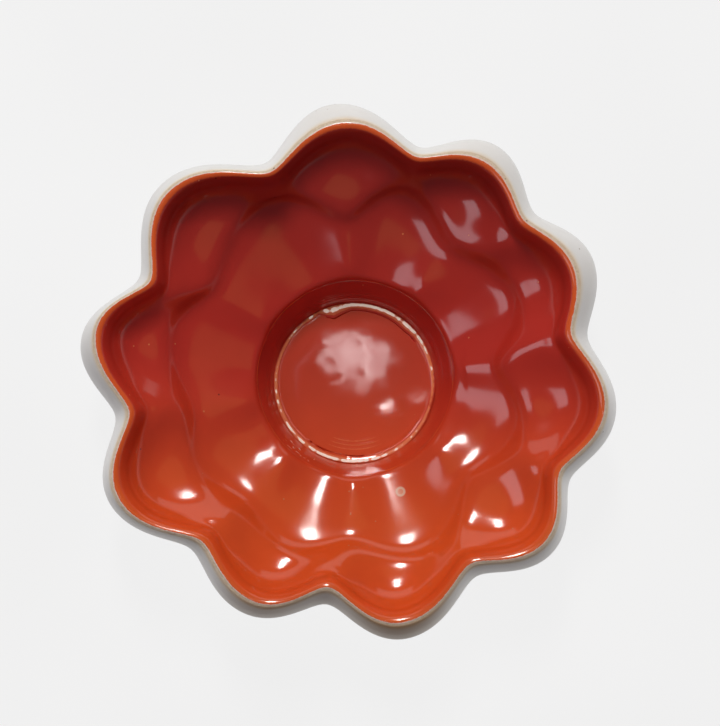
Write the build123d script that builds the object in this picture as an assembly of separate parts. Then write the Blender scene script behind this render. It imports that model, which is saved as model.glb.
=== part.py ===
"""A flower-shaped ceramic mixing palette: ten outer wells, eight inner wells and a round rinsing well.

The clay body carries an orange glaze inside, a white glaze outside and one more patch of white under the
base, and a pool of clear orange glaze lies in the rinsing well. The rim's crest and the foot stay bare.
Millimetres, +Z up. The origin is on the table that the foot stands on, in the middle of the outline.
"""

from build123d import *
import math
import os

# Heights above the table. Both tiers of wells slope down towards the rinsing well.
RIM_Z = 54.0
BELLY_Z = 38.5
OUTER_FLOOR_Z = 36.2
INNER_FLOOR_Z = 27.2
WELL_FLOOR_Z = 7.0
POOL_Z = 7.9

# How far the soft ridges between neighbouring wells stand above the wells' floors.
OUTER_RIDGE = 3.4
INNER_RIDGE = 2.0

# How wide an outer well's floor is before it reaches its full depth.
FULL_FLOOR_WIDTH = 8.0

# The round parts. The well's axis stands off the middle of the outline, and its floor leans off its axis.
WELL_AXIS = (2.3, -1.9)
WELL_FLOOR_SHIFT = (-0.3, -1.0)
WELL_MOUTH_R = 35.4
WELL_FLOOR_R = 29.4
FOOT_R = 43.0
FOOT_WIDTH = 5.0
RECESS_DEPTH = 2.4

# Glaze thicknesses, and how far above the table the outside glaze was wiped off the foot.
INSIDE_GLAZE = 0.8
OUTSIDE_GLAZE = 0.6
WIPED_FOOT = 2.4

# Hand-formed outlines round the well's axis: each petal's tip and the notch after it, (degrees, radius).
RIM = [
    (27, 85.0), (42, 79.5), (58, 87.0), (74, 78.5), (92, 88.0), (113, 76.0), (136, 91.0), (156, 78.0),
    (171, 91.5), (190, 79.5), (208, 93.0), (228, 79.0), (246, 87.0), (263, 75.0), (281, 88.5), (301, 77.5),
    (318, 88.5), (334, 79.0), (351, 88.0), (370, 76.5),
]
BELLY = [
    (27, 94.5), (42, 86.0), (58, 96.5), (74, 84.5), (94, 97.5), (113, 82.0), (136, 97.0), (156, 84.0),
    (173, 98.0), (190, 86.0), (207, 98.0), (227, 84.5), (245, 93.0), (263, 81.5), (281, 95.0), (301, 83.0),
    (318, 94.0), (334, 84.5), (351, 93.7), (369, 83.5),
]
STEP = [
    (28, 65.0), (53, 58.0), (75, 69.0), (93, 57.0), (118, 70.0), (148, 60.0), (165, 68.0), (193, 60.0),
    (211, 65.5), (230, 61.0), (249, 66.0), (269, 59.5), (291, 67.5), (318, 55.0), (341, 62.0), (365, 50.5),
]
NOTCH_SHARPNESS = 0.8
RING_POINTS = 100


def mix(a, b, share):
    return a + (b - a) * share


def petal(outline, angle):
    """(radius, how far towards a tip from 0 to 1) at an angle in degrees."""
    first = outline[0][0]
    angle = (angle - first) % 360 + first
    corners = outline + [(first + 360, outline[0][1])]
    for index, ((a0, r0), (a1, r1)) in enumerate(zip(corners, corners[1:])):
        if a0 <= angle <= a1:
            from_tip = index % 2 == 0
            along = (a1 - angle if from_tip else angle - a0) / (a1 - a0)
            rise = (1 - math.cos(math.pi * along**NOTCH_SHARPNESS)) / 2
            notch, tip = (r1, r0) if from_tip else (r0, r1)
            return mix(notch, tip, rise), rise
    raise ValueError(f"the outline doesn't reach {angle} degrees")


def outside_profile(angle):
    """(radius, height, share of the well floor's shift) up the outside, from the table to the crest."""
    belly, _ = petal(BELLY, angle)
    crest, _ = petal(RIM, angle)
    foot = [(FOOT_R, 0.0), (FOOT_R + 0.6, 1.2), (FOOT_R + 0.5, 5.0), (FOOT_R + 1.4, 10.0)]
    flare = [(0.09, 14.8), (0.24, 18.8), (0.44, 22.2), (0.65, 26.0), (0.84, 30.2), (0.96, 34.4)]
    shoulder = [(0.0, BELLY_Z), (0.12, 43.0), (0.34, 47.4), (0.60, 51.0), (0.85, 53.3)]
    points = foot + [(mix(FOOT_R, belly, share), z) for share, z in flare]
    points += [(mix(belly, crest, share), z) for share, z in shoulder]
    return [(r, z, 0.0) for r, z in points]


def inside_profile(angle):
    """(radius, height, share of the well floor's shift) down the inside, from the crest to the well."""
    crest, tip = petal(RIM, angle)
    step, inner_tip = petal(STEP, angle)
    ridge = OUTER_RIDGE * (1 - tip) ** 1.4
    inner_ridge = INNER_RIDGE * (1 - inner_tip) ** 1.4

    # The wall takes up to 12 mm of the way in. Where the inner wells come close to the rim there is no room
    # for an outer well's floor, and the wall runs straight down past the step.
    gap = crest - step
    wall = 14.0 * gap / (gap + 6.0)
    floor_width = gap - wall
    room = min(1.0, floor_width / FULL_FLOOR_WIDTH)
    room = room * room * (3 - 2 * room)
    lip = [(0.0, 0.0), (0.20, 0.7), (0.36, 3.2), (0.50, 7.4), (0.66, 11.4)]
    points = [(crest - wall * share, RIM_Z - drop) for share, drop in lip]
    curve = [(0.84, 4.1, 0.8, 40.9), (1.0, 2.7, 1.0, 39.2)]
    floor = [(0.36, 1.1, 0.9, 37.8), (0.72, 0.3, 0.5, 36.6), (0.95, -0.5, 0.2, 34.9)]
    outer_well = [(crest - wall * share, *rest) for share, *rest in curve]
    outer_well += [(crest - wall - floor_width * share, *rest) for share, *rest in floor]
    for r, rise, ridge_share, straight_z in outer_well:
        points.append((r, mix(straight_z, OUTER_FLOOR_Z + rise + ridge * ridge_share, room)))

    basin = step - WELL_MOUTH_R
    inner_well = [(0.03, 5.6, 0.1), (0.12, 3.6, 0.5), (0.25, 2.5, 1.0), (0.46, 1.2, 1.0), (0.72, 0.1, 0.8)]
    for share, rise, ridge_share in inner_well:
        points.append((step - basin * share, INNER_FLOOR_Z + rise + inner_ridge * ridge_share))
    mouth = [(2.6, -0.7, 0.3), (0.7, -1.9, 0.0), (0.0, -4.0, 0.0)]
    for out, rise, ridge_share in mouth:
        points.append((WELL_MOUTH_R + out, INNER_FLOOR_Z + rise + inner_ridge * ridge_share))

    well = [(0.30, 18.0), (0.62, 12.6), (0.86, WELL_FLOOR_Z + 2.0), (1.0, WELL_FLOOR_Z + 0.4)]
    round_part = [(mix(WELL_MOUTH_R, WELL_FLOOR_R, share), z, share) for share, z in well]
    return [(r, z, 0.0) for r, z in points] + round_part + [(WELL_FLOOR_R - 1.6, WELL_FLOOR_Z, 1.0)]


def sunk(profile, depth):
    """The profile moved into the clay, which lies to the left on the way up and down alike."""
    moved = []
    for index, (r, z, shift) in enumerate(profile):
        before = profile[max(index - 1, 0)]
        after = profile[min(index + 1, len(profile) - 1)]
        run, rise = after[0] - before[0], after[1] - before[1]
        length = math.hypot(run, rise)
        moved.append((r - rise / length * depth, z + run / length * depth, shift))
    return moved


def inside_glaze_profile(angle):
    """The underside of the inside glaze, which comes up out of the clay just inside the crest."""
    crest, _ = petal(RIM, angle)
    above = [(crest - 0.3, RIM_Z + 3.0, 0.0), (crest - 0.6, RIM_Z + 0.7, 0.0)]
    return above + sunk(inside_profile(angle)[1:], INSIDE_GLAZE)


def outside_glaze_profile(angle):
    """The underside of the outside glaze, between the wiped foot and the crest."""
    crest, _ = petal(RIM, angle)
    below = [(FOOT_R + 2.4, -2.0, 0.0), (FOOT_R + 1.6, 0.6, 0.0), (FOOT_R - 0.1, WIPED_FOOT + 0.7, 0.0)]
    above = [(crest + 1.5, RIM_Z - 0.2, 0.0), (crest + 1.9, RIM_Z + 2.5, 0.0)]
    return below + sunk(outside_profile(angle), OUTSIDE_GLAZE)[2:-1] + above


def loft(profile_at):
    """The solid inside the closed loops that the stations of a profile make round the axis."""
    shares = [k / RING_POINTS for k in range(RING_POINTS + 1)]
    angles = [360 * share for share in shares[:-1]]
    loops = []
    for station in zip(*[profile_at(angle) for angle in angles]):
        points = []
        for angle, (r, z, shift) in zip(angles, station):
            x = WELL_AXIS[0] + WELL_FLOOR_SHIFT[0] * shift + r * math.cos(math.radians(angle))
            y = WELL_AXIS[1] + WELL_FLOOR_SHIFT[1] * shift + r * math.sin(math.radians(angle))
            points.append(Vector(x, y, z))
        # Loops that share their parameters make a light surface, because their knots line up.
        loops.append(Wire([Edge.make_spline(points, periodic=True, parameters=shares)]))
    return Solid.make_loft(loops)


def disc(radius, low, high, centre):
    return Pos(*centre, low) * Cylinder(radius, high - low, align=(Align.CENTER, Align.CENTER, Align.MIN))


def clay_and_glazes():
    """The five layers of the fired piece, by name."""
    whole = loft(lambda angle: outside_profile(angle) + inside_profile(angle))
    lining = loft(inside_glaze_profile)
    core = loft(outside_glaze_profile)

    recess_r = FOOT_R - FOOT_WIDTH
    recess_top = RECESS_DEPTH + OUTSIDE_GLAZE
    recess = disc(recess_r, -1.0, recess_top, WELL_AXIS)
    floor_centre = (WELL_AXIS[0] + WELL_FLOOR_SHIFT[0], WELL_AXIS[1] + WELL_FLOOR_SHIFT[1])
    pool = disc(WELL_FLOOR_R + 2.5, WELL_FLOOR_Z - 0.5, POOL_Z, floor_centre)
    return {
        "clay_body": (whole & core) - lining - recess,
        "interior_glaze": whole & lining,
        "exterior_glaze": whole - core,
        "base_glaze": disc(recess_r, RECESS_DEPTH, recess_top, WELL_AXIS),
        "well_glaze_pool": pool - whole,
    }


os.makedirs("parts", exist_ok=True)
for name, solid in clay_and_glazes().items():
    export_step(solid, f"parts/{name}.step")
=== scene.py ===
"""The flower-shaped ceramic mixing palette: clay, orange glaze inside, white glaze outside, and its light.

The clay and the two large coats of glaze follow one skin of closed rings that runs from the foot, over the
belly and the rim, down both tiers of wells to the floor of the rinsing well. Bearings are degrees
anticlockwise from +X, seen from above. Lengths are millimetres until `MM` turns them into Blender's metres,
except those of the floor, the large lights and the camera.
"""

import math

import bpy
import numpy as np
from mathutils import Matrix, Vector, noise


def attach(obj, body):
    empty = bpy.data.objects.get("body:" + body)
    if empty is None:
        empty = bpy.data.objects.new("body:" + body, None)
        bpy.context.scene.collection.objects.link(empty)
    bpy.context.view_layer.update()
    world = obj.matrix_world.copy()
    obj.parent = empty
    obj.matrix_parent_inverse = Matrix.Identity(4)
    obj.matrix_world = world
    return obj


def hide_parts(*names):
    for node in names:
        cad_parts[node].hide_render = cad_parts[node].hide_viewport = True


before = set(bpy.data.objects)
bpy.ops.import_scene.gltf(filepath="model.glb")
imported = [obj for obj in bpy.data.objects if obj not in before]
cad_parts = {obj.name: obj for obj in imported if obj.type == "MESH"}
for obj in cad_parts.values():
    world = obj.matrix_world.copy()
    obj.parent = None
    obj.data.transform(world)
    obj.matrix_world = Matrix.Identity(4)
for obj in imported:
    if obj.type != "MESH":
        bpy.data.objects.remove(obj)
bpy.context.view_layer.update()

MM = 0.001

# Heights above the table.
RIM_Z = 54.0
BELLY_Z = 38.5
OUTER_FLOOR_Z = 36.2
INNER_FLOOR_Z = 27.2
WELL_FLOOR_Z = 7.0
POOL_Z = 7.9

# How high the ridges between wells rise. In the outer wells, the width at which the floor has its full shape,
# the most that the wall spreads inwards, and how soon it draws in where there's less room.
OUTER_RIDGE = 4.3
INNER_RIDGE = 2.2
FULL_FLOOR_WIDTH = 8.0
WALL_WIDEST = 12.8
WALL_SLACK = 6.0

# The round parts.
WELL_AXIS = (2.3, -1.9)
WELL_FLOOR_SHIFT = (-0.3, -1.0)
WELL_MOUTH_R = 35.4
WELL_FLOOR_R = 29.4
FOOT_R = 43.0
FOOT_WIDTH = 5.0
RECESS_DEPTH = 2.4
INSIDE_GLAZE = 0.8
OUTSIDE_GLAZE = 0.6

# Each petal's tip and the notch after it, (degrees, radius).
RIM = [
    (27, 85.0), (42, 79.5), (58, 87.0), (74, 78.5), (92, 88.0), (113, 76.0), (136, 91.0), (156, 78.0),
    (171, 91.5), (190, 79.5), (208, 93.0), (228, 79.0), (246, 87.0), (263, 75.0), (281, 88.5), (301, 77.5),
    (318, 88.5), (334, 79.0), (351, 88.0), (370, 76.5),
]
BELLY = [
    (27, 94.5), (42, 86.0), (58, 96.5), (74, 84.5), (94, 97.5), (113, 82.0), (136, 97.0), (156, 84.0),
    (173, 98.0), (190, 86.0), (207, 98.0), (227, 84.5), (245, 93.0), (263, 81.5), (281, 95.0), (301, 83.0),
    (318, 94.0), (334, 84.5), (351, 93.7), (369, 83.5),
]
STEP = [
    (28, 65.0), (53, 58.0), (75, 69.0), (93, 57.0), (118, 70.0), (148, 60.0), (165, 68.0), (193, 60.0),
    (211, 65.5), (230, 61.0), (249, 66.0), (269, 59.5), (291, 67.5), (318, 55.0), (341, 62.0), (365, 50.5),
]
NOTCH_SHARPNESS = 0.8

# Bearings where the inner floor lies flatter than elsewhere, and how far that reaches, in degrees.
FLATTER_AT = (62, 222, 325)
FLATTER_SPREAD = 19.0

# Points round each ring.
COLUMNS = 360

# How far kinks at the petals' tips and notches are rounded off, and the same inside the tiers of wells.
SMOOTHING_DEG = 1.1
TIER_SMOOTHING_DEG = 2.4


def mix(a, b, share):
    return a + (b - a) * share


def turn_between(a, b):
    """Degrees from one bearing to another, from -180 to 180."""
    return (a - b + 180) % 360 - 180


def petal(outline, angle):
    """(radius, how far towards a tip from 0 to 1) at an angle in degrees."""
    first = outline[0][0]
    angle = (angle - first) % 360 + first
    corners = outline + [(first + 360, outline[0][1])]
    for index, ((a0, r0), (a1, r1)) in enumerate(zip(corners, corners[1:])):
        if a0 <= angle <= a1:
            from_tip = index % 2 == 0
            along = (a1 - angle if from_tip else angle - a0) / (a1 - a0)
            rise = (1 - math.cos(math.pi * along**NOTCH_SHARPNESS)) / 2
            notch, tip = (r1, r0) if from_tip else (r0, r1)
            return mix(notch, tip, rise), rise
    raise ValueError(f"the outline doesn't reach {angle} degrees")


def outside_profile(angle):
    """(radius, height, share of the well floor's shift) up the outside, from the table to the crest."""
    belly, _ = petal(BELLY, angle)
    crest, _ = petal(RIM, angle)
    foot = [(FOOT_R, 0.0), (FOOT_R + 0.6, 1.2), (FOOT_R + 0.5, 5.0), (FOOT_R + 1.4, 10.0)]
    flare = [(0.09, 14.8), (0.24, 18.8), (0.44, 22.2), (0.65, 26.0), (0.84, 30.2), (0.96, 34.4)]
    shoulder = [(0.0, BELLY_Z), (0.12, 43.0), (0.34, 47.4), (0.60, 51.0), (0.85, 53.3)]
    points = foot + [(mix(FOOT_R, belly, share), z) for share, z in flare]
    points += [(mix(belly, crest, share), z) for share, z in shoulder]
    return [(r, z, 0.0) for r, z in points]


def inside_profile(angle):
    """(radius, height, share of the well floor's shift) down the inside, from the crest to the well."""
    crest, tip = petal(RIM, angle)
    step, inner_tip = petal(STEP, angle)
    ridge = OUTER_RIDGE * (1 - tip) ** 1.2
    inner_ridge = INNER_RIDGE * (1 - inner_tip) ** 1.4

    gap = crest - step
    wall = WALL_WIDEST * gap / (gap + WALL_SLACK)
    floor_width = gap - wall
    room = min(1.0, floor_width / FULL_FLOOR_WIDTH)
    room = room * room * (3 - 2 * room)
    lip = [(0.0, 0.0), (0.22, 0.4), (0.34, 2.3), (0.46, 6.6), (0.64, 11.4)]
    points = [(crest - wall * share, RIM_Z - drop) for share, drop in lip]
    # Share of the way in, rise above the well's floor, share of the ridge, height where there's no floor.
    curve = [(0.84, 4.1, 0.8, 40.9), (1.0, 2.7, 1.0, 39.2)]
    floor = [(0.36, 1.1, 0.9, 37.8), (0.72, 0.3, 0.5, 36.6), (0.95, -0.5, 0.2, 34.9)]
    outer_well = [(crest - wall * share, *rest) for share, *rest in curve]
    outer_well += [(crest - wall - floor_width * share, *rest) for share, *rest in floor]
    for r, rise, ridge_share, straight_z in outer_well:
        points.append((r, mix(straight_z, OUTER_FLOOR_Z + rise + ridge * ridge_share, room)))

    basin = step - WELL_MOUTH_R
    flat = max(math.exp(-((turn_between(angle, middle) / FLATTER_SPREAD) ** 2)) for middle in FLATTER_AT)
    # Share of the way in, rise above the inner floor, share of the ridge, how much lower it is if flatter.
    inner_well = [
        (0.02, 6.2, 0.1, 0.2), (0.13, 4.0, 0.25, 0.5), (0.25, 3.1, 0.45, 0.9), (0.46, 1.7, 0.7, 0.5),
        (0.72, -0.1, 1.0, -0.1),
    ]
    for share, rise, ridge_share, less in inner_well:
        height = INNER_FLOOR_Z + rise - less * flat + inner_ridge * ridge_share
        points.append((step - basin * share, height))
    mouth = [(2.6, -1.4, 1.05), (0.6, -2.1, 0.7), (0.0, -3.6, 0.2)]
    for out, rise, ridge_share in mouth:
        points.append((WELL_MOUTH_R + out, INNER_FLOOR_Z + rise + inner_ridge * ridge_share))

    well = [(0.30, 18.0), (0.62, 12.6), (0.86, WELL_FLOOR_Z + 2.0), (1.0, WELL_FLOOR_Z + 0.4)]
    round_part = [(mix(WELL_MOUTH_R, WELL_FLOOR_R, share), z, share) for share, z in well]
    return [(r, z, 0.0) for r, z in points] + round_part + [(WELL_FLOOR_R - 1.6, WELL_FLOOR_Z, 1.0)]


# ---------------------------------------------------------------- the skin, as rings of points


def smooth_round(values, degrees):
    """Values on rings, (ring, column), with the kinks at the petals' tips rounded off."""
    reach = 3 * degrees * COLUMNS / 360
    steps = np.arange(-int(reach) - 1, int(reach) + 2)
    weights = np.exp(-0.5 * (steps * 360 / COLUMNS / degrees) ** 2)
    weights /= weights.sum()
    return sum(w * np.roll(values, int(k), axis=1) for w, k in zip(weights, steps))


def spline_through(knots, values, at):
    """A natural cubic spline through values[knot, column], read at new places along the knots."""
    n = len(knots)
    h = np.diff(knots)
    system = np.eye(n)
    right = np.zeros_like(values)
    for i in range(1, n - 1):
        system[i, i - 1] = h[i - 1]
        system[i, i] = 2 * (h[i - 1] + h[i])
        system[i, i + 1] = h[i]
        right[i] = 6 * ((values[i + 1] - values[i]) / h[i] - (values[i] - values[i - 1]) / h[i - 1])
    bend = np.linalg.solve(system, right)
    seg = np.clip(np.searchsorted(knots, at, side="right") - 1, 0, n - 2)
    step = h[seg][:, None]
    a = (knots[seg + 1] - at)[:, None] / step
    b = 1 - a
    cubic = ((a**3 - a) * bend[seg] + (b**3 - b) * bend[seg + 1]) * step**2 / 6
    return a * values[seg] + b * values[seg + 1] + cubic


def smoothstep(low, high, value):
    share = np.clip((value - low) / (high - low), 0, 1)
    return share * share * (3 - 2 * share)


# Which points of the inside profile, counted from the crest, are the tiers of wells and the well's mouth.
FIRST_TIER_ROW, LAST_TIER_ROW = 5, 14
MOUTH_ROW = 17


class Skin:
    """The whole surface as rings: radius, height and shift, and the places of the parting lines on it."""

    def __init__(self):
        angles = [360 * k / COLUMNS for k in range(COLUMNS)]
        outside = [outside_profile(a) for a in angles]
        inside = [inside_profile(a) for a in angles]
        stations = np.array([o + i for o, i in zip(outside, inside)]).transpose(1, 0, 2)
        crest_row = len(outside[0])
        tiers = slice(crest_row + FIRST_TIER_ROW, crest_row + LAST_TIER_ROW + 1)
        rounded = [smooth_round(stations[:, :, k], SMOOTHING_DEG) for k in (0, 1)]
        for k in (0, 1):
            rounded[k][tiers] = smooth_round(stations[tiers, :, k], TIER_SMOOTHING_DEG)
        self.r_knots, self.z_knots = rounded
        self.shift_knots = stations[:, :, 2]
        steps = np.hypot(np.diff(self.r_knots, axis=0), np.diff(self.z_knots, axis=0)).mean(axis=1)
        self.knots = np.concatenate([[0.0], np.cumsum(steps)])
        self.crest = self.knots[crest_row]
        self.mouth = self.knots[crest_row + MOUTH_ROW]
        self.end = self.knots[-1]
        self.angles = np.radians(angles)

    def rows(self, start, stop, spacing):
        count = max(2, int(round((stop - start) / spacing)))
        return np.linspace(start, stop, count + 1)

    def softness(self, at):
        """How far the profile's corners are rounded: little at the crest, the foot and the well's mouth."""
        tiers = smoothstep(self.crest + 5, self.crest + 16, at) * smoothstep(4, 14, self.mouth - at)
        outside = smoothstep(3, 14, at) * smoothstep(2, 10, self.crest - at)
        return 0.30 + 2.3 * tiers + 1.2 * outside

    def points(self, at):
        """x, y, z of every ring in `at`, (ring, column, 3), in millimetres."""
        offsets = np.linspace(-2.4, 2.4, 13)
        weights = np.exp(-0.5 * offsets**2)
        weights /= weights.sum()
        places = [np.clip(at + self.softness(at) * k, 0, self.end) for k in offsets]
        r = sum(w * spline_through(self.knots, self.r_knots, place) for w, place in zip(weights, places))
        z = sum(w * spline_through(self.knots, self.z_knots, place) for w, place in zip(weights, places))
        shift = np.clip(spline_through(self.knots, self.shift_knots, at), 0, 1)
        x = WELL_AXIS[0] + WELL_FLOOR_SHIFT[0] * shift + r * np.cos(self.angles)
        y = WELL_AXIS[1] + WELL_FLOOR_SHIFT[1] * shift + r * np.sin(self.angles)
        return np.stack([x, y, z], axis=2)


def normals_of(grid):
    """Unit normals of a grid of rings, pointing out of the clay."""
    along = np.gradient(grid, axis=0)
    around = np.roll(grid, -1, axis=1) - np.roll(grid, 1, axis=1)
    normal = np.cross(around, along)
    length = np.linalg.norm(normal, axis=2, keepdims=True)
    return normal / np.maximum(length, 1e-9)


def waviness(grid, scale, height):
    """Slow unevenness of hand-finished ware: how far each point stands proud, in millimetres."""
    flat = grid.reshape(-1, 3)
    heights = [noise.noise(Vector(p) / scale) for p in flat.tolist()]
    return np.array(heights).reshape(grid.shape[:2]) * height


def noise_round(skin, frequency, seed):
    """Noise at each column that joins up all the way round."""
    places = [(math.cos(a) * frequency, math.sin(a) * frequency, seed) for a in skin.angles]
    return np.array([noise.noise(Vector(place)) for place in places])


def shell(top, under):
    """Rings that go out over the top and back along the underside, as one closed band."""
    return np.concatenate([top, under[::-1]], axis=0)


def mesh_from_rings(name, rings, values, close="band"):
    """A mesh from rings, (ring, column, 3), in mm.

    A band's last ring meets its first; a cap is closed by a point at each end. `values` is how thin the
    glaze lies at each place, which the materials read as "thin".
    """
    count, columns, _ = rings.shape
    verts = (rings.reshape(-1, 3) * MM).tolist()
    faces = []
    last = count if close == "band" else count - 1
    for i in range(last):
        a, b = i * columns, ((i + 1) % count) * columns
        for j in range(columns):
            k = (j + 1) % columns
            faces.append((a + j, a + k, b + k, b + j))
    data = list(values.reshape(-1))
    if close == "cap":
        for ring, turned in ((0, True), (count - 1, False)):
            centre = len(verts)
            verts.append((rings[ring].mean(axis=0) * MM).tolist())
            data.append(float(values[ring].mean()))
            base = ring * columns
            for j in range(columns):
                k = (j + 1) % columns
                face = (base + j, centre, base + k) if turned else (base + j, base + k, centre)
                faces.append(face)
    mesh = bpy.data.meshes.new(name)
    mesh.from_pydata(verts, [], faces)
    mesh.polygons.foreach_set("use_smooth", [True] * len(mesh.polygons))
    attribute = mesh.attributes.new("thin", "FLOAT", "POINT")
    attribute.data.foreach_set("value", data)
    mesh.update()
    piece = bpy.data.objects.new(name, mesh)
    bpy.context.collection.objects.link(piece)
    return piece


# ---------------------------------------------------------------- materials


def new_material(name):
    material = bpy.data.materials.new(name)
    material.use_nodes = True
    nodes = material.node_tree.nodes
    return material, nodes, material.node_tree.links, nodes["Principled BSDF"]


def noise_node(nodes, links, scale, detail=2.0, rough=0.5):
    place = nodes.new("ShaderNodeTexCoord")
    texture = nodes.new("ShaderNodeTexNoise")
    texture.inputs["Scale"].default_value = scale
    texture.inputs["Detail"].default_value = detail
    texture.inputs["Roughness"].default_value = rough
    links.new(place.outputs["Object"], texture.inputs["Vector"])
    return texture.outputs["Fac"]


def spots_node(nodes, links, scale, size, share):
    """1 in sparse round spots: `size` of a cell across, in the given share of the cells."""
    place = nodes.new("ShaderNodeTexCoord")
    cells = nodes.new("ShaderNodeTexVoronoi")
    cells.inputs["Scale"].default_value = scale
    links.new(place.outputs["Object"], cells.inputs["Vector"])
    near = nodes.new("ShaderNodeMapRange")
    near.inputs["From Min"].default_value = size
    near.inputs["From Max"].default_value = size * 0.6
    links.new(cells.outputs["Distance"], near.inputs["Value"])
    chosen = nodes.new("ShaderNodeMath")
    chosen.operation = "LESS_THAN"
    chosen.inputs[1].default_value = share
    pick = nodes.new("ShaderNodeSeparateColor")
    links.new(cells.outputs["Color"], pick.inputs["Color"])
    links.new(pick.outputs["Red"], chosen.inputs[0])
    both = nodes.new("ShaderNodeMath")
    both.operation = "MULTIPLY"
    links.new(near.outputs["Result"], both.inputs[0])
    links.new(chosen.outputs["Value"], both.inputs[1])
    return both.outputs["Value"]


def ramp(nodes, links, factor, stops):
    node = nodes.new("ShaderNodeValToRGB")
    elements = node.color_ramp.elements
    while len(elements) < len(stops):
        elements.new(0.5)
    for element, (place, colour) in zip(elements, stops):
        element.position = place
        element.color = (*colour, 1)
    links.new(factor, node.inputs["Fac"])
    return node.outputs["Color"]


def blend_colour(nodes, links, factor, a, b, mode="MIX"):
    node = nodes.new("ShaderNodeMix")
    node.data_type = "RGBA"
    node.blend_type = mode
    for socket, value in ((node.inputs["Factor"], factor), (node.inputs["A"], a), (node.inputs["B"], b)):
        if isinstance(value, (int, float)):
            socket.default_value = value
        elif isinstance(value, tuple):
            socket.default_value = (*value, 1)
        else:
            links.new(value, socket)
    return node.outputs["Result"]


def bump(nodes, links, layers, shader):
    """Chains (height, distance in mm, strength) bumps into the shader's normal."""
    last = None
    for height, distance, strength in layers:
        node = nodes.new("ShaderNodeBump")
        node.inputs["Distance"].default_value = distance * MM
        node.inputs["Strength"].default_value = strength
        links.new(height, node.inputs["Height"])
        if last is not None:
            links.new(last, node.inputs["Normal"])
        last = node.outputs["Normal"]
    links.new(last, shader.inputs["Normal"])


def smooth_range(nodes, links, value, low, high):
    node = nodes.new("ShaderNodeMapRange")
    node.interpolation_type = "SMOOTHSTEP"
    node.inputs["From Min"].default_value = low
    node.inputs["From Max"].default_value = high
    links.new(value, node.inputs["Value"])
    return node.outputs["Result"]


def along_y(nodes, links, low, high):
    """0 to 1 from one place to another on the object's own Y axis, in millimetres."""
    place = nodes.new("ShaderNodeTexCoord")
    split = nodes.new("ShaderNodeSeparateXYZ")
    links.new(place.outputs["Object"], split.inputs["Vector"])
    return smooth_range(nodes, links, split.outputs["Y"], low * MM, high * MM)


def ragged_value(nodes, links, value, grain, amount):
    """The value with noise added, so that a colour border along it comes out uneven."""
    node = nodes.new("ShaderNodeMath")
    node.operation = "MULTIPLY_ADD"
    node.inputs[1].default_value = amount
    links.new(grain, node.inputs[0])
    offset = nodes.new("ShaderNodeMath")
    offset.inputs[1].default_value = -amount / 2
    links.new(value, offset.inputs[0])
    links.new(offset.outputs["Value"], node.inputs[2])
    return node.outputs["Value"]


def distance_from(nodes, links, place):
    """How far a point lies, seen from above, from (x, y) in millimetres."""
    coordinates = nodes.new("ShaderNodeTexCoord")
    flat = nodes.new("ShaderNodeVectorMath")
    flat.operation = "MULTIPLY"
    flat.inputs[1].default_value = (1.0, 1.0, 0.0)
    links.new(coordinates.outputs["Object"], flat.inputs[0])
    apart = nodes.new("ShaderNodeVectorMath")
    apart.operation = "DISTANCE"
    apart.inputs[1].default_value = (place[0] * MM, place[1] * MM, 0.0)
    links.new(flat.outputs["Vector"], apart.inputs[0])
    return apart.outputs["Value"]


def thin_value(nodes):
    node = nodes.new("ShaderNodeAttribute")
    node.attribute_name = "thin"
    return node.outputs["Fac"]


WHITE = (1.0, 1.0, 1.0)
# The first two are painted light and shade: the inside glaze's colour at the shaded back and at the lit
# front.
ORANGE_SHADED_BACK = (0.60, 0.040, 0.025)
ORANGE_LIT_FRONT = (0.84, 0.108, 0.020)
ORANGE_LIP = (0.84, 0.125, 0.026)
ORANGE_POOL_HIGHLIGHT = (0.86, 0.22, 0.09)
# Cream where the glaze breaks over the crest, and also the painted highlight on the pool's bead.
CREAM_BREAK_AND_HIGHLIGHT = (0.95, 0.81, 0.70)

# A pale round pinhole scar in the glaze, on the front of the inner floor.
BLEMISH_AT = (18.6, -43.1)


def make_painted_glow(nodes, links, shader, where, strength):
    """Painted highlight: makes the pale edge glow a little, though it is no lamp."""
    amount = nodes.new("ShaderNodeMath")
    amount.operation = "MULTIPLY"
    amount.inputs[1].default_value = strength
    links.new(where, amount.inputs[0])
    links.new(amount.outputs["Value"], shader.inputs["Emission Strength"])
    shader.inputs["Emission Color"].default_value = (*CREAM_BREAK_AND_HIGHLIGHT, 1)


def pinhole_scar(nodes, links, colour):
    """A pale ring with a dull pink middle, laid over the colour."""
    away = distance_from(nodes, links, BLEMISH_AT)
    halo = smooth_range(nodes, links, away, 2.0 * MM, 1.5 * MM)
    colour = blend_colour(nodes, links, halo, colour, (0.86, 0.50, 0.36))
    core = smooth_range(nodes, links, away, 1.2 * MM, 0.8 * MM)
    return blend_colour(nodes, links, core, colour, (0.80, 0.26, 0.15))


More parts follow.
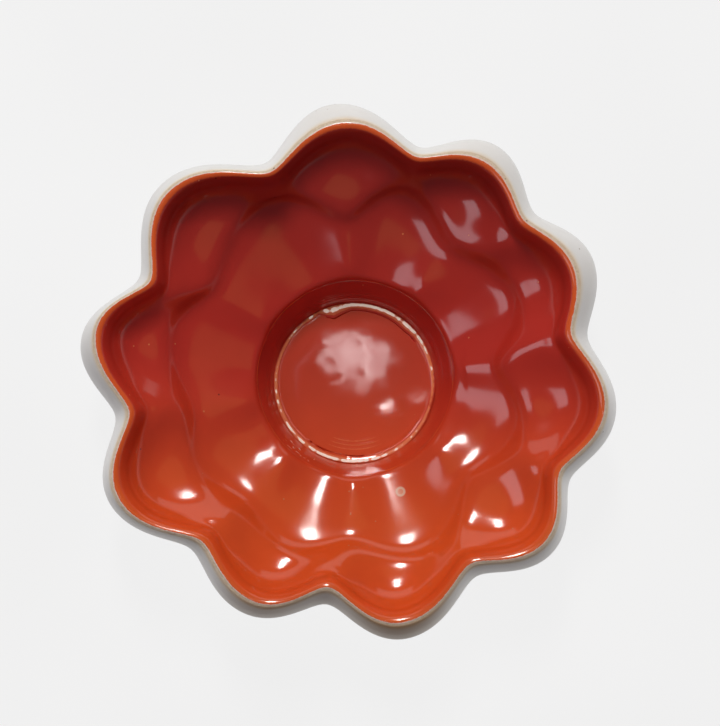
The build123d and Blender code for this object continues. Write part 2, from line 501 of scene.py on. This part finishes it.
def orange_glaze(name, shaded_back, bright, roughness, painted_glow=0.0, ripple=1.0):
    """Gloss glaze: red where it lies full, orange where it is thin, cream where it breaks over an edge.

    Painted light and shade: it is deeper red and darker towards the back (+Y) and more orange towards the
    front, with soft clouds and small specks. The argument after the roughness sets how strongly the cream
    edge glows, a painted highlight; `ripple` is how uneven it lies.
    """
    material, nodes, links, shader = new_material(name)
    ragged = noise_node(nodes, links, 900.0, 3.0, 0.7)
    thin = ragged_value(nodes, links, thin_value(nodes), ragged, 0.30)
    # Painted light and shade: lit orange at the front, shaded deep red at the back, darkened further towards
    # the back.
    body = blend_colour(nodes, links, along_y(nodes, links, -70, 12), ORANGE_LIT_FRONT, shaded_back)
    back_shade = blend_colour(nodes, links, along_y(nodes, links, 10, 75), WHITE, (0.62, 0.62, 0.72))
    body = blend_colour(nodes, links, 1.0, body, back_shade, "MULTIPLY")
    over = smooth_range(nodes, links, thin, 0.20, 0.60)
    colour = blend_colour(nodes, links, over, body, bright)
    # Cream where the glaze breaks over an edge; on the pool's bead it is a painted highlight, and there it
    # glows.
    over = smooth_range(nodes, links, thin, 0.80, 0.92)
    colour = blend_colour(nodes, links, over, colour, CREAM_BREAK_AND_HIGHLIGHT)
    if painted_glow:
        make_painted_glow(nodes, links, shader, over, painted_glow)

    # Soft clouds, then dark and pale specks, then the scar.
    cloud = noise_node(nodes, links, 26.0, 3.0, 0.55)
    tone = ramp(nodes, links, cloud, [(0.30, (0.90, 0.84, 0.84)), (0.70, WHITE)])
    colour = blend_colour(nodes, links, 1.0, colour, tone, "MULTIPLY")
    dark = spots_node(nodes, links, 150.0, 0.07, 0.10)
    colour = blend_colour(nodes, links, dark, colour, (0.10, 0.010, 0.006))
    pale = spots_node(nodes, links, 210.0, 0.08, 0.16)
    colour = blend_colour(nodes, links, pale, colour, (0.70, 0.20, 0.08))
    colour = pinhole_scar(nodes, links, colour)
    links.new(colour, shader.inputs["Base Color"])
    shader.inputs["Roughness"].default_value = roughness
    shader.inputs["IOR"].default_value = 1.6
    peel = noise_node(nodes, links, 120.0, 1.0, 0.4)
    slow = noise_node(nodes, links, 38.0, 1.0, 0.4)
    bump(nodes, links, [(slow, 0.35 * ripple, 0.35), (peel, 0.05 * ripple, 0.5), (pale, 0.05, 0.4)], shader)
    return material


def white_glaze(name):
    """Satin white glaze, cream where it thins towards bare clay, with a few iron specks and painted shade
    towards the front.
    """
    material, nodes, links, shader = new_material(name)
    ragged = noise_node(nodes, links, 500.0, 3.0, 0.7)
    thin = ragged_value(nodes, links, thin_value(nodes), ragged, 0.25)
    white, warm = (0.88, 0.87, 0.85), (0.89, 0.86, 0.81)
    cream, buff = (0.88, 0.80, 0.68), (0.82, 0.66, 0.48)
    colour = ramp(nodes, links, thin, [(0.0, white), (0.45, warm), (0.86, cream), (1.0, buff)])
    cloud = noise_node(nodes, links, 45.0, 4.0, 0.6)
    tone = ramp(nodes, links, cloud, [(0.3, (0.94, 0.93, 0.91)), (0.7, WHITE)])
    colour = blend_colour(nodes, links, 1.0, colour, tone, "MULTIPLY")
    # Painted shade: browner and darker towards the front (-Y).
    painted_front_shade = blend_colour(nodes, links, along_y(nodes, links, -95, -70), (0.70, 0.56, 0.43), WHITE)
    colour = blend_colour(nodes, links, 1.0, colour, painted_front_shade, "MULTIPLY")
    specks = spots_node(nodes, links, 260.0, 0.10, 0.10)
    colour = blend_colour(nodes, links, specks, colour, (0.35, 0.27, 0.18))
    links.new(colour, shader.inputs["Base Color"])
    shader.inputs["Roughness"].default_value = 0.32
    shader.inputs["Coat Weight"].default_value = 0.35
    shader.inputs["Coat Roughness"].default_value = 0.12
    peel = noise_node(nodes, links, 200.0, 2.0, 0.5)
    slow = noise_node(nodes, links, 40.0, 1.0, 0.5)
    bump(nodes, links, [(slow, 0.4, 0.4), (peel, 0.05, 0.4), (specks, 0.04, 0.3)], shader)
    return material


def bare_clay():
    """Dry buff clay with grog specks and a fine tooth."""
    material, nodes, links, shader = new_material("bare_clay")
    grain = noise_node(nodes, links, 900.0, 4.0, 0.65)
    colour = ramp(nodes, links, grain, [(0.3, (0.66, 0.50, 0.34)), (0.7, (0.84, 0.71, 0.54))])
    specks = spots_node(nodes, links, 420.0, 0.16, 0.18)
    colour = blend_colour(nodes, links, specks, colour, (0.30, 0.19, 0.11))
    links.new(colour, shader.inputs["Base Color"])
    shader.inputs["Roughness"].default_value = 0.78
    bump(nodes, links, [(grain, 0.12, 0.6)], shader)
    return material


# ---------------------------------------------------------------- the pieces


def settle(piece, material, node):
    piece.data.materials.append(material)
    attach(piece, "root")
    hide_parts(node)
    return piece


# Bare clay on each side of the crest and above the foot, and the length over which a glaze's edge thins out.
BARE_INSIDE = 0.1
BARE_OUTSIDE = 0.6
BARE_FOOT = 2.6
TAPER = 1.6

# Where pale flecks lie on the rinsing well's wall, in degrees, and the throwing rings' spacing and depth.
FLECKS_AT = 232.0
FLECKS_SPREAD = 11.0
RING_SPACING = 1.5
RING_DEPTH = 0.06


def inside_thin(skin, at, grid):
    """How thin the inside glaze lies: at the rim's edge, on the lip, over the well's mouth, and in flecks."""
    below_crest = (at - skin.crest)[:, None] + np.zeros(grid.shape[:2])
    edge = 1 - 0.32 * smoothstep(BARE_INSIDE, BARE_INSIDE + 0.9, below_crest)
    lip = 1 - smoothstep(1.2, 3.6, below_crest)
    wander = noise_round(skin, 2.2, 7.0)
    mouth = np.clip(0.42 + 0.6 * wander, 0, 0.8) * np.exp(-0.5 * ((at - skin.mouth)[:, None] / 0.45) ** 2)
    below = (at - skin.mouth)[:, None]
    zone = smoothstep(2.0, 4.0, below) * (1 - smoothstep(9.0, 13.0, below))
    zone = zone * np.exp(-0.5 * ((np.degrees(skin.angles) - FLECKS_AT) / FLECKS_SPREAD) ** 2)
    grain = waviness(grid, 1.3, 1.0) + 0.30 * (zone - 1)
    flecks = smoothstep(0.14, 0.32, grain) * smoothstep(0.2, 0.5, zone)
    return np.maximum(np.maximum(edge * lip, mouth), 0.95 * flecks)


def inside_surface(skin, at):
    """The inside glaze's surface, with the throwing rings of the well and a fine bead at its mouth."""
    grid = skin.points(at)
    proud = waviness(grid, 16.0, 0.22) * smoothstep(0, 8, at - skin.crest)[:, None]
    proud += 0.24 * np.exp(-0.5 * ((at - skin.mouth)[:, None] / 0.40) ** 2)
    below = at[:, None] - skin.mouth
    rings = np.sin(below * 2 * math.pi / RING_SPACING) * (1 - smoothstep(17.5, 19.5, below))
    front = smoothstep(0.80, 0.97, -np.sin(skin.angles))
    proud += RING_DEPTH * rings * np.maximum(smoothstep(5.0, 9.0, below), smoothstep(1.0, 2.5, below) * front)
    return grid + normals_of(grid) * proud[:, :, None]


def make_interior_glaze(skin):
    """A cup of two faces, joined at the rim, each closed across the floor."""
    start = skin.crest + BARE_INSIDE
    near_mouth = skin.rows(skin.mouth - 1.5, skin.mouth + 1.5, 0.25)
    at = np.concatenate([
        skin.rows(start, start + 3.0, 0.35)[:-1],
        skin.rows(start + 3.0, skin.mouth - 1.5, 0.8)[:-1],
        near_mouth[:-1],
        skin.rows(skin.mouth + 1.5, skin.mouth + 9.0, 0.8)[:-1],
        skin.rows(skin.mouth + 9.0, skin.mouth + 21.0, 0.45)[:-1],
        skin.rows(skin.mouth + 21.0, skin.end, 2.5),
    ])
    top = inside_surface(skin, at)
    depth = 0.05 + (INSIDE_GLAZE - 0.15) * smoothstep(0, TAPER, at - start)
    under = top - normals_of(skin.points(at)) * depth[:, None, None]
    thin = inside_thin(skin, at, top)
    rings = np.concatenate([top[::-1], under])
    glaze = mesh_from_rings("interior_glaze_gloss", rings, np.concatenate([thin[::-1], thin]), close="cap")
    orange = orange_glaze("orange_glaze", ORANGE_SHADED_BACK, ORANGE_LIP, 0.13)
    return settle(glaze, orange, "interior_glaze")


# The pool's raised edge: bearing, half its crest's width, how bright its painted highlight is, and how far it
# strays outwards.
POOL_EDGE = [
    (0, 0.30, 0.62, 0.0), (18, 0.42, 0.80, 0.0), (38, 0.62, 0.95, 0.2), (47, 0.70, 1.05, -0.1),
    (60, 0.62, 1.0, 0.0), (92, 0.62, 1.0, 0.0), (101, 0.85, 0.95, -0.5), (107, 0.95, 1.05, -0.9),
    (112, 0.80, 1.0, -0.2), (117, 0.30, 0.5, 0.3), (124, 0.45, 0.95, 0.1), (130, 0.25, 0.55, 0.0),
    (140, 0.30, 0.80, 0.1), (160, 0.30, 0.75, 0.1), (200, 0.42, 0.85, 0.0), (235, 0.50, 0.95, -0.1),
    (262, 0.62, 1.05, 0.0), (285, 0.50, 0.95, 0.0), (320, 0.34, 0.75, 0.0), (345, 0.26, 0.55, 0.0),
]
# The profile of that edge: how far out where half the crest's width is DRAWN_HALF_WIDTH, and how far up as a
# share of the half width.
POOL_BEAD = [
    (-1.6, 0.0), (-1.2, 0.02), (-0.9, 0.12), (-0.6, 0.32), (-0.3, 0.44), (0.0, 0.48), (0.3, 0.44),
    (0.6, 0.34), (0.9, 0.24),
]
DRAWN_HALF_WIDTH = 0.45
POOL_EDGE_R = 28.9
POOL_LIMIT_R = 29.55
POOL_RING_DEPTH = 0.014


def make_pool(skin):
    """A still, slightly uneven pool with faint turning rings, and the bead where it meets the wall;
    the bead is painted pale and glows as a highlight, and the rings' crests at the front are a painted
    reflection.
    """
    centre = (WELL_AXIS[0] + WELL_FLOOR_SHIFT[0], WELL_AXIS[1] + WELL_FLOOR_SHIFT[1])
    degrees = np.degrees(skin.angles)
    stops = [stop[0] for stop in POOL_EDGE]
    half_width, pale, stray = (
        np.interp(degrees, stops, [stop[k] for stop in POOL_EDGE], period=360) for k in (1, 2, 3)
    )
    dashes = noise_round(skin, 14, 3.0)
    # Painted highlight along the bead, broken into dashes.
    pale = pale + 0.35 * dashes
    edge = POOL_EDGE_R + stray + 0.15 * dashes

    front = smoothstep(0.84, 0.98, -np.sin(skin.angles))
    flat = np.arange(0.5, 27.4, 0.5)
    rows, thins = [], []
    for r in flat:
        ring_zone = float(smoothstep(19.0, 21.0, r) * smoothstep(0, 2, 27.0 - r))
        ring = math.sin(r * 2 * math.pi / RING_SPACING) * ring_zone * front
        rows.append((np.full(COLUMNS, r), POOL_Z + POOL_RING_DEPTH * ring))
        # Painted reflection: the rings' crests at the front are painted lighter orange.
        thins.append(0.05 + 0.45 * np.maximum(ring, 0))
    for out, up in POOL_BEAD:
        across = out * half_width / DRAWN_HALF_WIDTH
        rows.append((np.minimum(edge + across, POOL_LIMIT_R), POOL_Z + up * half_width))
        # Each bead ring is painted pale by how bright the painted highlight is at that bearing.
        thins.append(np.clip(pale, 0.0, 1.0) * max(0.0, 1 - (out / 1.15) ** 2))
    side = [(29.75, POOL_Z + 0.25), (29.3, POOL_Z - 0.25)]
    bottom = [(28.0, WELL_FLOOR_Z + 0.2), (10.0, WELL_FLOOR_Z + 0.15)]
    for r, z in side + bottom:
        rows.append((np.full(COLUMNS, r), np.full(COLUMNS, z)))
        thins.append(np.full(COLUMNS, 0.1))
    cos, sin = np.cos(skin.angles), np.sin(skin.angles)
    grid = np.array([np.stack([centre[0] + r * cos, centre[1] + r * sin, z], axis=1) for r, z in rows])
    top = len(flat)
    grid[:top, :, 2] += waviness(grid[:top], 7.0, 0.009)
    pool = mesh_from_rings("well_glaze_pool_gloss", grid[::-1], np.array(thins)[::-1], close="cap")
    # The bead is painted pale orange and cream and glows a little: a painted highlight.
    pooled = orange_glaze("pooled_glaze", ORANGE_SHADED_BACK, ORANGE_POOL_HIGHLIGHT, 0.035, 0.26, 0.3)
    return settle(pool, pooled, "well_glaze_pool")


def make_exterior_glaze(skin):
    """A band from the wiped foot to just outside the crest."""
    start, stop = BARE_FOOT, skin.crest - BARE_OUTSIDE
    at = np.concatenate([skin.rows(start, stop - 4.0, 0.9)[:-1], skin.rows(stop - 4.0, stop, 0.4)])
    grid = skin.points(at)
    proud = (waviness(grid, 22.0, 0.22) - 0.18) * smoothstep(0, 6, skin.crest - at)[:, None]
    normal = normals_of(grid)
    top = grid + normal * proud[:, :, None]
    tapers = smoothstep(0, TAPER, at - start) * smoothstep(0, TAPER, stop - at)
    depth = 0.04 + (OUTSIDE_GLAZE - 0.14) * tapers
    under = top - normal * depth[:, None, None]
    front = smoothstep(-0.2, 0.8, -np.sin(skin.angles))
    near_crest = 1 - smoothstep(0.9 * front, 2.6 + 1.8 * front, (stop - at)[:, None])
    near_foot = 1 - smoothstep(0.0, 1.6, at - start)
    thin = np.maximum(near_crest, near_foot[:, None])
    band = mesh_from_rings("exterior_glaze_satin", shell(top, under), np.concatenate([thin, thin[::-1]]))
    return settle(band, white_glaze("white_glaze"), "exterior_glaze")


def round_rows(skin, profile):
    """Level rings round the well's axis, (ring, column, 3), from (radius, height)."""
    cos, sin = np.cos(skin.angles), np.sin(skin.angles)
    rows = [(WELL_AXIS[0] + r * cos, WELL_AXIS[1] + r * sin, np.full(COLUMNS, z)) for r, z in profile]
    return np.array([np.stack(row, axis=1) for row in rows])


def make_clay(skin):
    """The foot and its recess, the sides under the glaze, the bare crest, and the cup under the glaze."""
    at = np.concatenate([
        skin.rows(0.0, 6.0, 0.5)[:-1],
        skin.rows(6.0, skin.crest - 4.0, 1.5)[:-1],
        skin.rows(skin.crest - 4.0, skin.crest + 4.0, 0.25)[:-1],
        skin.rows(skin.crest + 4.0, skin.end, 1.5),
    ])
    grid = skin.points(at)
    outside = smoothstep(BARE_FOOT, BARE_FOOT + 2.0, at)
    outside *= smoothstep(BARE_OUTSIDE, BARE_OUTSIDE + 1.4, skin.crest - at)
    inside = smoothstep(BARE_INSIDE, BARE_INSIDE + 1.4, at - skin.crest)
    body = grid - normals_of(grid) * (0.45 * outside + 0.60 * inside)[:, None, None]
    body[0, :, 2] = 0.5
    recess_r = FOOT_R - FOOT_WIDTH
    recess = [(recess_r - 0.3, RECESS_DEPTH + 0.3), (recess_r, 0.9), (recess_r + 0.5, 0.1)]
    foot = [(recess_r + 1.0, 0.0), (FOOT_R - 1.0, 0.0), (FOOT_R - 0.3, 0.12)]
    rings = np.concatenate([round_rows(skin, recess + foot), body], axis=0)
    clay = mesh_from_rings("clay_body_bare", rings, np.zeros(rings.shape[:2]), close="cap")
    return settle(clay, bare_clay(), "clay_body")


def make_base_glaze(skin):
    """A disc inside the foot ring, a little pillowed, with a soft edge."""
    edge = [(6.0, 0.42), (16.0, 0.40), (26.0, 0.36), (33.0, 0.27), (36.0, 0.16), (37.2, 0.05), (37.5, 0.0)]
    lower = [(r, RECESS_DEPTH + OUTSIDE_GLAZE - 0.1 - drop) for r, drop in edge]
    upper = [(r, RECESS_DEPTH + OUTSIDE_GLAZE - 0.05) for r, _ in reversed(edge)]
    rows = round_rows(skin, lower + upper)
    disc = mesh_from_rings("base_glaze_satin", rows, np.full(rows.shape[:2], 0.15), close="cap")
    return settle(disc, white_glaze("base_white_glaze"), "base_glaze")


# ---------------------------------------------------------------- floor, light and camera


def make_floor():
    mesh = bpy.data.meshes.new("floor")
    half = 6.0
    corners = [(-half, -half, 0), (half, -half, 0), (half, half, 0), (-half, half, 0)]
    mesh.from_pydata(corners, [], [(0, 1, 2, 3)])
    floor = bpy.data.objects.new("floor", mesh)
    bpy.context.collection.objects.link(floor)
    material, nodes, links, shader = new_material("pale_paper")
    grain = noise_node(nodes, links, 6.0, 2.0)
    colour = ramp(nodes, links, grain, [(0.3, (0.068, 0.068, 0.068)), (0.7, (0.070, 0.070, 0.070))])
    links.new(colour, shader.inputs["Base Color"])
    links.new(colour, shader.inputs["Emission Color"])
    shader.inputs["Emission Strength"].default_value = 12.1
    shader.inputs["Roughness"].default_value = 0.9
    shader.inputs["Specular IOR Level"].default_value = 0.0

    # From below it lets the underside of the palette be seen.
    side = nodes.new("ShaderNodeNewGeometry")
    clear = nodes.new("ShaderNodeBsdfTransparent")
    two_sided = nodes.new("ShaderNodeMixShader")
    links.new(side.outputs["Backfacing"], two_sided.inputs["Fac"])
    links.new(shader.outputs["BSDF"], two_sided.inputs[1])
    links.new(clear.outputs["BSDF"], two_sided.inputs[2])
    links.new(two_sided.outputs["Shader"], nodes["Material Output"].inputs["Surface"])
    mesh.materials.append(material)
    floor.visible_diffuse = False
    floor.visible_glossy = False


def area_light(name, place, target, size, energy, colour=(1, 1, 1), shape="RECTANGLE", turn=0.0):
    light = bpy.data.lights.new(name, "AREA")
    light.shape = shape
    light.size, light.size_y = size
    light.energy = energy
    light.color = colour
    lamp = bpy.data.objects.new(name, light)
    lamp.location = place
    lamp.rotation_euler = (Vector(target) - Vector(place)).to_track_quat("-Z", "Y").to_euler()
    lamp.rotation_euler.rotate_axis("Z", turn)
    bpy.context.collection.objects.link(lamp)
    return lamp


def radiance_energy(radiance, size, shape="RECTANGLE"):
    """The power of an area light that shows the given brightness."""
    area = size[0] * size[1] * (math.pi / 4 if shape in ("ELLIPSE", "DISK") else 1.0)
    return radiance * math.pi * area


# The room's colours along the horizon, at the south and at the north, and overhead.
ROOM_SOUTH = (0.095, 0.070, 0.048)
ROOM_NORTH = (0.86, 0.855, 0.85)
ROOM_ABOVE = (0.070, 0.060, 0.080)


def make_world():
    """A room that is pale along the horizon and below, and dim overhead; its south side is dim and brown."""
    world = bpy.data.worlds.new("studio")
    world.use_nodes = True
    nodes, links = world.node_tree.nodes, world.node_tree.links
    place = nodes.new("ShaderNodeTexCoord")
    split = nodes.new("ShaderNodeSeparateXYZ")
    links.new(place.outputs["Generated"], split.inputs["Vector"])
    bright_side = nodes.new("ShaderNodeVectorMath")
    bright_side.operation = "DOT_PRODUCT"
    bright_side.inputs[1].default_value = (0.15, 0.90, 0.0)
    links.new(place.outputs["Generated"], bright_side.inputs[0])
    north = smooth_range(nodes, links, bright_side.outputs["Value"], -1.0, 0.1)
    above = smooth_range(nodes, links, split.outputs["Z"], 0.03, 0.28)
    room = blend_colour(nodes, links, north, ROOM_SOUTH, ROOM_NORTH)
    colour = blend_colour(nodes, links, above, room, ROOM_ABOVE)
    links.new(colour, nodes["Background"].inputs["Color"])
    nodes["Background"].inputs["Strength"].default_value = 1.0
    bpy.context.scene.world = world


# The large lights: bearing and angle from overhead in degrees, distance, size, brightness, colour.
LIGHTS = {
    "window": (95, 33, 1.5, (0.19, 0.43), 38.0, (1.0, 0.98, 0.95)),
    "north_glow": (90, 66, 1.6, (1.7, 0.6), 0.85, (1.0, 0.97, 0.93)),
    "side_window": (194, 32, 1.5, (0.60, 0.60), 2.1, (0.92, 0.92, 1.0)),
    "ceiling": (60, 8, 1.5, (0.95, 0.85), 0.36, (1.0, 0.66, 0.18)),
}

# Small lamps straight above, seen in the pool: place, size and turn in mm and degrees, and brightness.
LAMP_HEIGHT = 1200.0
LAMP_COLOUR = (1.0, 0.94, 0.92)
LAMPS = [
    (27.4, 48.8, 4.8, 5.6, 0, 40.0), (26.6, 43.0, 2.6, 5.0, 0, 9.0), (31.6, 47.0, 1.9, 7.0, 6, 26.0),
    (58.5, 58.0, 1.5, 12.0, -43, 16.0),
]

# The skylight straight above, also seen in the pool: its outline with the holes in it, a brighter pane,
# and the faint edge of a blind beside it.
SKYLIGHT = [
    (-31, 106), (-26, 111), (-16, 113), (-8, 113.5), (-5, 110), (-3, 113.5), (3, 114.5), (10, 115), (16, 115),
    (20, 110), (27, 108), (31, 101), (34, 92), (28, 89), (26, 83), (25, 76), (20, 70), (12, 64), (5, 61.5),
    (0, 63), (-1.5, 69), (-3, 74), (-7, 69.5), (-12, 64.5), (-19, 63.5), (-23, 67), (-22, 70.5), (-16, 71),
    (-12, 75), (-12.5, 80), (-20, 83), (-26, 87), (-30, 89), (-31, 94), (-26, 98), (-27, 103),
]
SKYLIGHT_HOLES = [(-1.0, 105.0, 2.6, 3.2), (4.0, 81.5, 4.3, 6.2)]
BRIGHT_PANE = [(2, 105), (5, 106), (8, 99), (12, 90), (17, 82), (21, 77), (17, 79), (10, 85), (5, 94)]
BLIND_EDGE = [
    (-34, 106), (-44, 96), (-54, 84), (-56, 76), (-57, 63), (-54, 54), (-50, 53), (-53, 58), (-54.5, 66),
    (-53, 76), (-51, 83), (-42, 95),
]


def smooth_loop(points, per_corner=6):
    """A closed smooth curve near the given corners, as many points."""
    count = len(points)
    loop = []
    for i in range(count):
        before, a, b, after = (Vector(points[(i + k) % count]) for k in (-1, 0, 1, 2))
        for step in range(per_corner):
            t = step / per_corner
            bow = (b - before) * t + (2 * before - 5 * a + 4 * b - after) * t**2
            loop.append(a + 0.5 * (bow + (3 * a - before - 3 * b + after) * t**3))
    return loop


def oval(x, y, wide, tall, count=24):
    turns = [2 * math.pi * k / count for k in range(count)]
    return [Vector((x + wide * math.cos(t), y + tall * math.sin(t))) for t in turns]


def glow_material(name, brightness, scale):
    """Light that is brighter in some clouds than in others, and fades a little towards the front."""
    material, nodes, links, shader = new_material(name)
    cloud = noise_node(nodes, links, scale, 3.0, 0.6)
    tone = ramp(nodes, links, cloud, [(0.35, (0.55, 0.48, 0.47)), (0.65, (1.0, 0.95, 0.93))])
    fade = blend_colour(nodes, links, along_y(nodes, links, 58, 84), (0.42, 0.38, 0.36), WHITE)
    links.new(blend_colour(nodes, links, 1.0, tone, fade, "MULTIPLY"), shader.inputs["Emission Color"])
    shader.inputs["Emission Strength"].default_value = brightness
    shader.inputs["Base Color"].default_value = (0, 0, 0, 1)
    return material


def glowing_shape(name, loops, height, brightness, scale=70.0):
    """A flat glowing shape that faces down; loops inside the first one are holes."""
    curve = bpy.data.curves.new(name, "CURVE")
    curve.dimensions = "2D"
    curve.fill_mode = "BOTH"
    for loop in loops:
        spline = curve.splines.new("POLY")
        spline.points.add(len(loop) - 1)
        for point, (x, y) in zip(spline.points, loop):
            point.co = (x * MM, y * MM, 0, 1)
        spline.use_cyclic_u = True
    drawn = bpy.data.objects.new(name + "_outline", curve)
    bpy.context.collection.objects.link(drawn)
    bpy.context.view_layer.update()
    mesh = bpy.data.meshes.new_from_object(drawn.evaluated_get(bpy.context.evaluated_depsgraph_get()))
    bpy.data.objects.remove(drawn)
    shape = bpy.data.objects.new(name, mesh)
    shape.location = (0, 0, height * MM)
    bpy.context.collection.objects.link(shape)
    mesh.materials.clear()
    mesh.materials.append(glow_material(name, brightness, scale))
    return shape


def make_skylight():
    holes = [oval(*hole) for hole in SKYLIGHT_HOLES]
    glowing_shape("skylight", [smooth_loop(SKYLIGHT), *holes], LAMP_HEIGHT, 8.0)
    glowing_shape("bright_pane", [smooth_loop(BRIGHT_PANE)], LAMP_HEIGHT - 1, 11.0)
    glowing_shape("blind_edge", [smooth_loop(BLIND_EDGE)], LAMP_HEIGHT, 1.6)


def make_lights():
    middle = (0.0, 0.0, 0.03)
    for name, (bearing, from_top, distance, size, brightness, colour) in LIGHTS.items():
        flat = distance * math.sin(math.radians(from_top))
        x, y = flat * math.cos(math.radians(bearing)), flat * math.sin(math.radians(bearing))
        place = (x, y, distance * math.cos(math.radians(from_top)))
        area_light(name, place, middle, size, radiance_energy(brightness, size), colour)
    for number, (x, y, wide, tall, turn, brightness) in enumerate(LAMPS):
        size = (wide * MM, tall * MM)
        energy = radiance_energy(brightness, size, "ELLIPSE")
        place = (x * MM, y * MM, LAMP_HEIGHT * MM)
        below = (place[0], place[1], 0)
        turned = math.radians(turn)
        area_light(f"lamp_{number}", place, below, size, energy, LAMP_COLOUR, "ELLIPSE", turned)


def make_camera():
    data = bpy.data.cameras.new("camera")
    data.sensor_width = 36.0
    data.lens = 103.3
    data.clip_start = 0.01
    camera = bpy.data.objects.new("camera", data)
    elevation, distance = math.radians(86.0), 0.75
    target = Vector((4.1, 3.1, 27.0)) * MM
    back = Vector((0.0, -math.cos(elevation), math.sin(elevation)))
    camera.location = target + back * distance
    camera.rotation_euler = (-back).to_track_quat("-Z", "Y").to_euler()
    bpy.context.collection.objects.link(camera)
    bpy.context.scene.camera = camera


make_camera()
whole_skin = Skin()
make_interior_glaze(whole_skin)
make_exterior_glaze(whole_skin)
make_clay(whole_skin)
make_base_glaze(whole_skin)
make_pool(whole_skin)
make_floor()
make_world()
make_lights()
make_skylight()
bpy.context.scene.view_settings.view_transform = "Standard"
bpy.context.scene.view_settings.look = "None"
